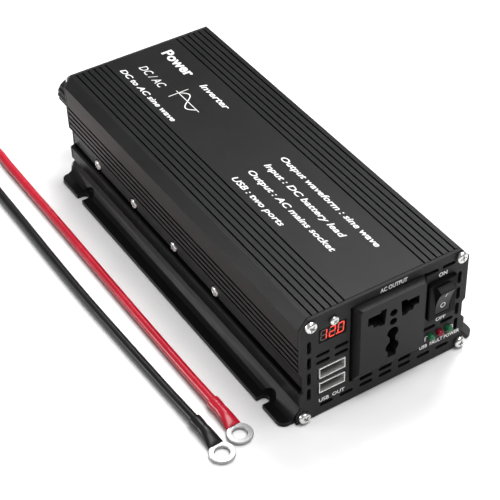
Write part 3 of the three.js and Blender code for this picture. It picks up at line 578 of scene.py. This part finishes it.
def text_mesh(words, width, height, bold, slant=0.0):
    """Flat lettering in the XY plane, centred, stretched to a width and a capital height."""
    data = bpy.data.curves.new("lettering", "FONT")
    data.body = words
    data.size = 1
    data.offset = bold
    data.shear = slant
    data.extrude = 0.5
    data.resolution_u = 3
    letters = bpy.data.objects.new("lettering", data)
    bpy.context.scene.collection.objects.link(letters)
    bpy.context.view_layer.update()
    mesh = bpy.data.meshes.new_from_object(letters.evaluated_get(bpy.context.evaluated_depsgraph_get()))
    bpy.data.objects.remove(letters)
    bpy.data.curves.remove(data)
    xs = [v.co.x for v in mesh.vertices]
    capital = 0.7  # the built-in font's capital height at size 1
    centre = Vector(((min(xs) + max(xs)) / 2, capital / 2, 0))
    scale = Vector((width / (max(xs) - min(xs)), height / capital, INK))
    for vertex in mesh.vertices:
        local = vertex.co - centre
        vertex.co = Vector((local.x * scale.x, local.y * scale.y, (local.z + 0.5) * scale.z))
    return mesh


def merged(meshes):
    bm = bmesh.new()
    for mesh in meshes:
        bm.from_mesh(mesh)
    bmesh.ops.remove_doubles(bm, verts=bm.verts, dist=1e-8)
    return bm


def bar(x0, x1, y0, y1, thickness=INK):
    mesh = bpy.data.meshes.new("bar")
    bm = bmesh.new()
    bmesh.ops.create_cube(bm, size=1)
    bm.transform(
        Matrix.Translation(((x0 + x1) / 2, (y0 + y1) / 2, thickness / 2))
        @ Matrix.Diagonal((abs(x1 - x0), abs(y1 - y0), thickness, 1)))
    bm.to_mesh(mesh)
    bm.free()
    return mesh


def stroke(points, width):
    """A flat line of even width through points in the XY plane."""
    bm = bmesh.new()
    sides = []
    for i, point in enumerate(points):
        before = Vector(points[max(i - 1, 0)])
        after = Vector(points[min(i + 1, len(points) - 1)])
        across = (after - before).orthogonal().normalized() * width / 2
        corners = [Vector(point) - across, Vector(point) + across]
        sides.append([bm.verts.new((*c, z)) for z in (0, INK) for c in corners])
    for a, b in zip(sides, sides[1:]):
        for k, m in ((0, 1), (1, 3), (3, 2), (2, 0)):
            bm.faces.new((a[k], a[m], b[m], b[k]))
    for end in (sides[0], sides[-1]):
        bm.faces.new((end[0], end[1], end[3], end[2]))
    bmesh.ops.recalc_face_normals(bm, faces=bm.faces)
    mesh = bpy.data.meshes.new("stroke")
    bm.to_mesh(mesh)
    bm.free()
    return mesh


def moved(mesh, matrix):
    mesh.transform(matrix)
    return mesh


def on_top(x, y):
    """From the XY plane to the case's top, with the lettering running from the rear to the front."""
    return Matrix.Translation((x * MM, y * MM, TOP)) @ Matrix.Rotation(-math.pi / 2, 4, "Z")


def on_front(x, z, y=FRONT):
    return Matrix.Translation((x * MM, y, z * MM)) @ Matrix.Rotation(math.pi / 2, 4, "X")


def sine_icon():
    """One period of a sine wave on its two axes."""
    amplitude, period = 3.6 * MM, 17 * MM
    steps = 28
    turns = [i / steps for i in range(steps + 1)]
    wave = [(period * (turn - 0.5), amplitude * math.sin(2 * math.pi * turn)) for turn in turns]
    return [
        stroke(wave, 0.55 * MM),
        bar(-10.5 * MM, 10.5 * MM, -0.2 * MM, 0.2 * MM),
        bar(-8.7 * MM, -8.3 * MM, -5.5 * MM, 5.5 * MM),
    ]


def top_marks():
    def line(words, x, front_end, rear_end, height, bold=0.02, slant=0.25):
        """Lettering between two distances from the front panel, in millimetres."""
        length = abs(rear_end - front_end) * MM
        y = (front_end + rear_end) / 2 - 104.2
        return moved(text_mesh(words, length, height * MM, bold, slant), on_top(x, y))

    meshes = [
        line("Power", 10.5, 175, 200, 5.6, 0.03, 0),
        line("Inverter", 10.5, 141, 165, 3.4),
        line("DC / AC", -6, 174, 195, 4.2, 0.0),
        line("DC to AC sine wave", -15.5, 147, 198, 2.9),
        line("Output waveform : sine wave", 11, 21, 95, 3.0),
        line("Input : DC battery lead", 2.3, 34, 95, 3.0),
        line("Output : AC mains socket", -6.4, 29, 95, 3.0),
        line("USB : two ports", -15, 55, 95, 3.0),
        *[moved(mesh, on_top(-2.5, 157 - 104.2)) for mesh in sine_icon()],
    ]
    mesh = mesh_from(merged(meshes), "top_print")
    new_piece("top_print", mesh, materials["white_ink"])


def front_marks():
    def legend(words, x, z, width, height):
        return moved(text_mesh(words, width * MM, height * MM, 0.022), on_front(x, z))

    bracket_top, bracket_bottom = 16.0, 13.2
    brackets = []
    for x, inward in ((21.9, 1), (37.3, -1)):
        upright = bar(x * MM, (x + inward * 0.4) * MM, bracket_bottom * MM, bracket_top * MM)
        top_bar = bar(x * MM, (x + inward * 1.6) * MM, bracket_top * MM, (bracket_top - 0.4) * MM)
        brackets += [moved(piece, on_front(0, 0)) for piece in (upright, top_bar)]
    meshes = [
        legend("AC OUTPUT", 3.4, 56.0, 13.8, 2.2),
        legend("ON", 29.4, 49.4, 4.4, 2.1),
        legend("OFF", 29.9, 23.6, 5.4, 2.1),
        legend("USB  FAULT POWER", 30.2, 10.4, 21.8, 1.95),
        legend("USB  OUT", -27, 8.6, 13.2, 2.0),
        *brackets,
    ]
    mesh = mesh_from(merged(meshes), "front_print")
    new_piece("front_print", mesh, materials["white_ink"])


def rear_marks():
    """Polarity marks by the terminals."""
    back = Matrix.Rotation(math.pi, 4, "Z")
    reach, half = 1.6 * MM, 0.25 * MM
    plus = [bar(-reach, reach, -half, half), bar(-half, half, -reach, reach)]
    minus = [bar(-reach, reach, -half, half)]
    meshes = []
    for x, mark in ((33, plus), (-33, minus)):
        place = Matrix.Translation((x * MM, REAR, 27.5 * MM)) @ back @ on_front(0, 0, 0)
        meshes += [moved(line, place) for line in mark]
    mesh = mesh_from(merged(meshes), "rear_print")
    new_piece("rear_print", mesh, materials["white_ink"])


def rocker_marks():
    """The marks for on and off, laid on the curved face of the rocker."""
    rocker = nodes["switch_rocker"].data
    tree = BVHTree.FromPolygons([v.co for v in rocker.vertices], [p.vertices for p in rocker.polygons])
    angles = [i / 16 * math.tau for i in range(17)]
    circle = [(1.15 * MM * math.sin(a), 1.35 * MM * math.cos(a)) for a in angles]
    upright = [(0, -1.5 * MM + i * 1.0 * MM) for i in range(4)]
    meshes = []
    for points, z in ((upright, 40.4), (circle, 33.2)):
        mesh = moved(stroke(points, 0.38 * MM), on_front(28.9, z, 0))
        for vertex in mesh.vertices:
            depth = vertex.co.y
            start = Vector((vertex.co.x, FRONT - 0.05, vertex.co.z))
            hit = tree.ray_cast(start, Vector((0, 1, 0)))[0]
            vertex.co.y = hit.y + depth
        meshes.append(mesh)
    mesh = mesh_from(merged(meshes), "rocker_print")
    new_piece("rocker_print", mesh, materials["white_ink"], "rocker")


# ---------------------------------------------------------------- display, lights and USB ports

SEGMENTS = {"0": "abcdef", "1": "bc", "2": "abdeg"}


def segment_mesh(start, end, width):
    """One bar of a seven-segment digit, with pointed ends."""
    a, b = Vector(start), Vector(end)
    along = (b - a).normalized()
    across = along.orthogonal() * width / 2
    tip = along * width / 2
    outline = [a, a + tip + across, b - tip + across, b, b - tip - across, a + tip - across]
    bm = bmesh.new()
    low = [bm.verts.new((*p, 0)) for p in outline]
    high = [bm.verts.new((*p, 2 * INK)) for p in outline]
    bm.faces.new(low[::-1])
    bm.faces.new(high)
    for i in range(6):
        j = (i + 1) % 6
        bm.faces.new((low[i], low[j], high[j], high[i]))
    mesh = bpy.data.meshes.new("segment")
    bm.to_mesh(mesh)
    bm.free()
    return mesh


def display_digits():
    low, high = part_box("voltmeter_module")
    centre_x, centre_z = (low.x + high.x) / 2, (low.z + high.z) / 2
    half_width, half_height, thick, lean = 1.34 * MM, 2.62 * MM, 0.5 * MM, 0.07
    left, right, up, gap = -half_width, half_width, half_height, 0.08 * MM
    places = {
        "a": ((left, up), (right, up)), "g": ((left, 0), (right, 0)), "d": ((left, -up), (right, -up)),
        "f": ((left, 0), (left, up)), "b": ((right, 0), (right, up)),
        "e": ((left, -up), (left, 0)), "c": ((right, -up), (right, 0)),
    }
    lit, unlit = [], []
    slant = Matrix.Identity(4)
    slant[0][1] = lean
    for digit, offset in zip("120", (-4.25, 0.0, 4.25)):
        for key, (start, end) in places.items():
            direction = (Vector(end) - Vector(start)).normalized() * gap
            mesh = segment_mesh(Vector(start) + direction, Vector(end) - direction, thick)
            mesh.transform(Matrix.Translation((offset * MM, 0, 0)) @ slant)
            (lit if key in SEGMENTS[digit] else unlit).append(mesh)
    dot = bar(1.86 * MM, 2.5 * MM, -2.92 * MM, -2.3 * MM, 2 * INK)
    lit.append(dot)
    where = Matrix.Translation((centre_x, low.y, centre_z)) @ Matrix.Rotation(math.pi / 2, 4, "X")
    for name, group, material in (
        ("display_lit_segments", lit, "lit_segment"), ("display_unlit_segments", unlit, "unlit_segment"),
    ):
        mesh = mesh_from(merged([moved(m, where) for m in group]), name)
        new_piece(name, mesh, materials[material])


def light_lenses():
    radius, proud = 1.6 * MM, 2.6 * MM
    dome = []
    for i in range(13):
        a = math.pi / 2 * i / 12
        dome.append((radius * math.sin(a), -proud + radius - radius * math.cos(a)))
    flange = [(radius, 2.1 * MM), (2.0 * MM, 2.1 * MM), (2.0 * MM, 3.2 * MM), (0, 3.2 * MM)]
    lenses = {"light_left": "green_lens", "light_middle": "red_lens", "light_right": "green_lens"}
    for name, slot in lenses.items():
        low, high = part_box(name)
        bm = lathe(dome + flange, 40)
        placed(bm, ((low.x + high.x) / 2, FRONT, (low.z + high.z) / 2))
        mesh = mesh_from(bm, name + "_detail")
        shade_smooth(mesh, 50)
        piece = new_piece(name + "_detail", mesh, materials[slot], "case")
        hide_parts(name)


def usb_contacts():
    """Four plated contacts under each port's tongue."""
    meshes = []
    for port in ("upper", "lower"):
        low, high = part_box(f"usb_tongue_{port}")
        for i in range(4):
            x = low.x + (high.x - low.x) * (i + 0.5) / 4
            mesh = bar(x - 0.6 * MM, x + 0.6 * MM, -4.5 * MM, 0, 0.08 * MM)
            meshes.append(moved(mesh, Matrix.Translation((0, low.y + 4.9 * MM, low.z - 0.08 * MM))))
    mesh = mesh_from(merged(meshes), "usb_contacts")
    new_piece("usb_contacts", mesh, materials["tinned_copper"])


# ---------------------------------------------------------------- rear terminals

def terminal_pieces(name, x, plastic):
    z = 38.7
    at = (x * MM, REAR, z * MM)

    def add(node, profile, slot, segments=48, body="case", corner=0.2):
        bm = lathe(rounded_profile([(r * MM, y * MM) for r, y in profile], corner * MM), segments)
        placed(bm, at)
        mesh = mesh_from(bm, node + "_detail")
        shade_smooth(mesh, 45)
        piece = new_piece(node + "_detail", mesh, materials[slot], body)
        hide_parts(node)

    add(f"terminal_insulator_{name}", [
        (3.2, 0), (3.2, -2.4), (4.3, -2.4), (4.3, 0.3),
        (6.6, 0.3), (6.6, 2.6), (6.0, 3.0), (3.2, 3.0), (3.2, 0),
    ], plastic)
    add(f"terminal_washer_{name}", [
        (3.2, 3.8), (3.2, 3.3), (5.6, 3.3), (5.6, 4.3), (3.2, 4.3), (3.2, 3.8),
    ], "zinc_plated_steel", 48, f"clamp_washer_{name}", 0.12)

    thread = [(0, -7), (2.6, -7), (2.9, -6.6), (2.9, -5.6), (5, -5.6), (5, -2.8), (2.9, -2.8), (2.9, 1.5)]
    y = 1.5
    while y < 13.2:
        thread += [(2.45, y + 0.4), (2.9, y + 0.8)]
        y += 0.8
    thread += [(2.5, 14), (0, 14)]
    add(f"terminal_stud_{name}", thread, "brass", 40, "case", 0.05)
    knob_piece(f"terminal_knob_{name}", at, plastic, f"clamp_knob_{name}")


def knob_piece(node, at, slot, body):
    """A round knob with soft flutes, a rounded outer end and a bore for the stud."""
    flutes, per_flute = 16, 8
    segments = flutes * per_flute
    start, length, bore_radius = 4.6, 12.4, 3.2
    stations = [
        (6.5, start, 0), (6.6, start + 0.5, 0), (6.6, start + 1.1, 0), (7.45, start + 1.5, 1),
        (7.5, start + 2.2, 1), (7.5, start + length - 2.4, 1), (7.3, start + length - 1.8, 0.7),
        (6.6, start + length - 1.2, 0), (6.2, start + length - 0.4, 0), (5.4, start + length, 0),
    ]
    bm = bmesh.new()
    rings = []
    for radius, y, fluted in stations:
        ring = []
        for k in range(segments):
            a = 2 * math.pi * k / segments
            wave = 0.5 - 0.5 * math.cos(flutes * a)
            r = (radius - 0.6 * fluted * wave ** 2) * MM
            ring.append(bm.verts.new((r * math.cos(a), y * MM, r * math.sin(a))))
        rings.append(ring)
    outer_middle = bm.verts.new((0, (start + length) * MM, 0))
    inner_floor = bm.verts.new((0, 14.6 * MM, 0))
    for y in (14.6, start):
        angles = [2 * math.pi * k / segments for k in range(segments)]
        reach = bore_radius * MM
        rings.append([bm.verts.new((reach * math.cos(a), y * MM, reach * math.sin(a))) for a in angles])
    outside, bore = rings[:-2], rings[-2:]
    skin(bm, [[inner_floor] * segments, *bore, *outside, [outer_middle] * segments])
    placed(bm, at)
    mesh = mesh_from(bm, node + "_detail")
    shade_smooth(mesh, 40)
    piece = new_piece(node + "_detail", mesh, materials[slot], body)
    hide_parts(node)


# ---------------------------------------------------------------- carried-over and rounded CAD pieces

# CAD node, radius of its edges in millimetres, its slot, and its material where that isn't the slot's own.
ROUNDED = [
    ("top_shell", 0.16, "anodised_case"),
    ("base_shell", 0.25, "anodised_case"),
    ("front_panel", 0.12, "panel_paint"),
    ("rear_panel", 0.12, "panel_paint"),
    ("socket_faceplate", 0.28, "black_plastic"),
    ("switch_housing", 0.22, "black_plastic", "glossy_black_plastic"),
    ("switch_rocker", 0.3, "black_plastic"),
    ("fan_frame", 0.3, "black_plastic"),
    ("fan_rotor", 0.1, "black_plastic"),
    ("usb_shell_upper", 0.12, "zinc_plated_steel", "satin_nickel"),
    ("usb_shell_lower", 0.12, "zinc_plated_steel", "satin_nickel"),
    ("usb_tongue_upper", 0.1, "black_plastic"),
    ("usb_tongue_lower", 0.1, "black_plastic"),
    ("voltmeter_module", 0.15, "dark_display"),
    ("transformer", 0.4, "ferrite"),
    ("heat_bar", 0.3, "bare_aluminium"),
]
CARRIED_OVER = {
    "socket_body": "black_plastic",
    "socket_contact_live": "brass",
    "socket_contact_neutral": "brass",
    "socket_contact_earth": "brass",
    "main_board": "circuit_board",
    "front_board": "circuit_board",
}


def cad_pieces():
    for node, width, *slot_and_look in ROUNDED:
        refined(node, width * MM, *slot_and_look)
    for node, slot in CARRIED_OVER.items():
        mesh = nodes[node].data
        mesh.materials.clear()
        mesh.materials.append(materials[slot])


# ---------------------------------------------------------------- studio

def studio():
    floor_mesh = bpy.data.meshes.new("floor")
    bm = bmesh.new()
    bmesh.ops.create_grid(bm, x_segments=1, y_segments=1, size=4)
    bm.transform(Matrix.Translation((0, 0, -0.3 * MM)))
    bm.to_mesh(floor_mesh)
    bm.free()
    floor = bpy.data.objects.new("floor", floor_mesh)
    bpy.context.scene.collection.objects.link(floor)
    floor_mesh.materials.append(grained(
        "pale_floor", (0.86, 0.86, 0.86), (0.9, 0.9, 0.9), 60, 0.0, (0.85, 0.95), Specular_IOR_Level=0.1))

    world = bpy.data.worlds.new("studio")
    world.use_nodes = True
    world.node_tree.nodes["Background"].inputs["Color"].default_value = (1, 1, 1, 1)
    world.node_tree.nodes["Background"].inputs["Strength"].default_value = 0.3
    bpy.context.scene.world = world
    bpy.context.scene.view_settings.view_transform = "Standard"

    # Where each soft light stands, its size in metres and its power in watts; all face the object.
    lights = {
        "overhead_light": ((0.3, -0.5, 2.4), 1.4, 50),
        "rear_light": ((0.98, 0.85, 1.85), 0.8, 34),
        "lead_light": ((0.6, 1.4, 1.62), 0.3, 2.5),
        "left_light": ((-1.9, 1.2, 0.46), 0.5, 15),
    }
    for name, (place, size, power) in lights.items():
        data = bpy.data.lights.new(name, "AREA")
        data.size = size
        data.energy = power
        light = bpy.data.objects.new(name, data)
        light.location = place
        light.rotation_euler = (-Vector(place)).to_track_quat("-Z", "Y").to_euler()
        bpy.context.scene.collection.objects.link(light)


place_camera()
materials = make_materials()
battery_leads()
cad_pieces()
screws()
display_digits()
light_lenses()
usb_contacts()
terminal_pieces("negative", -33, "black_plastic")
terminal_pieces("positive", 33, "red_plastic")
top_marks()
front_marks()
rear_marks()
rocker_marks()
studio()
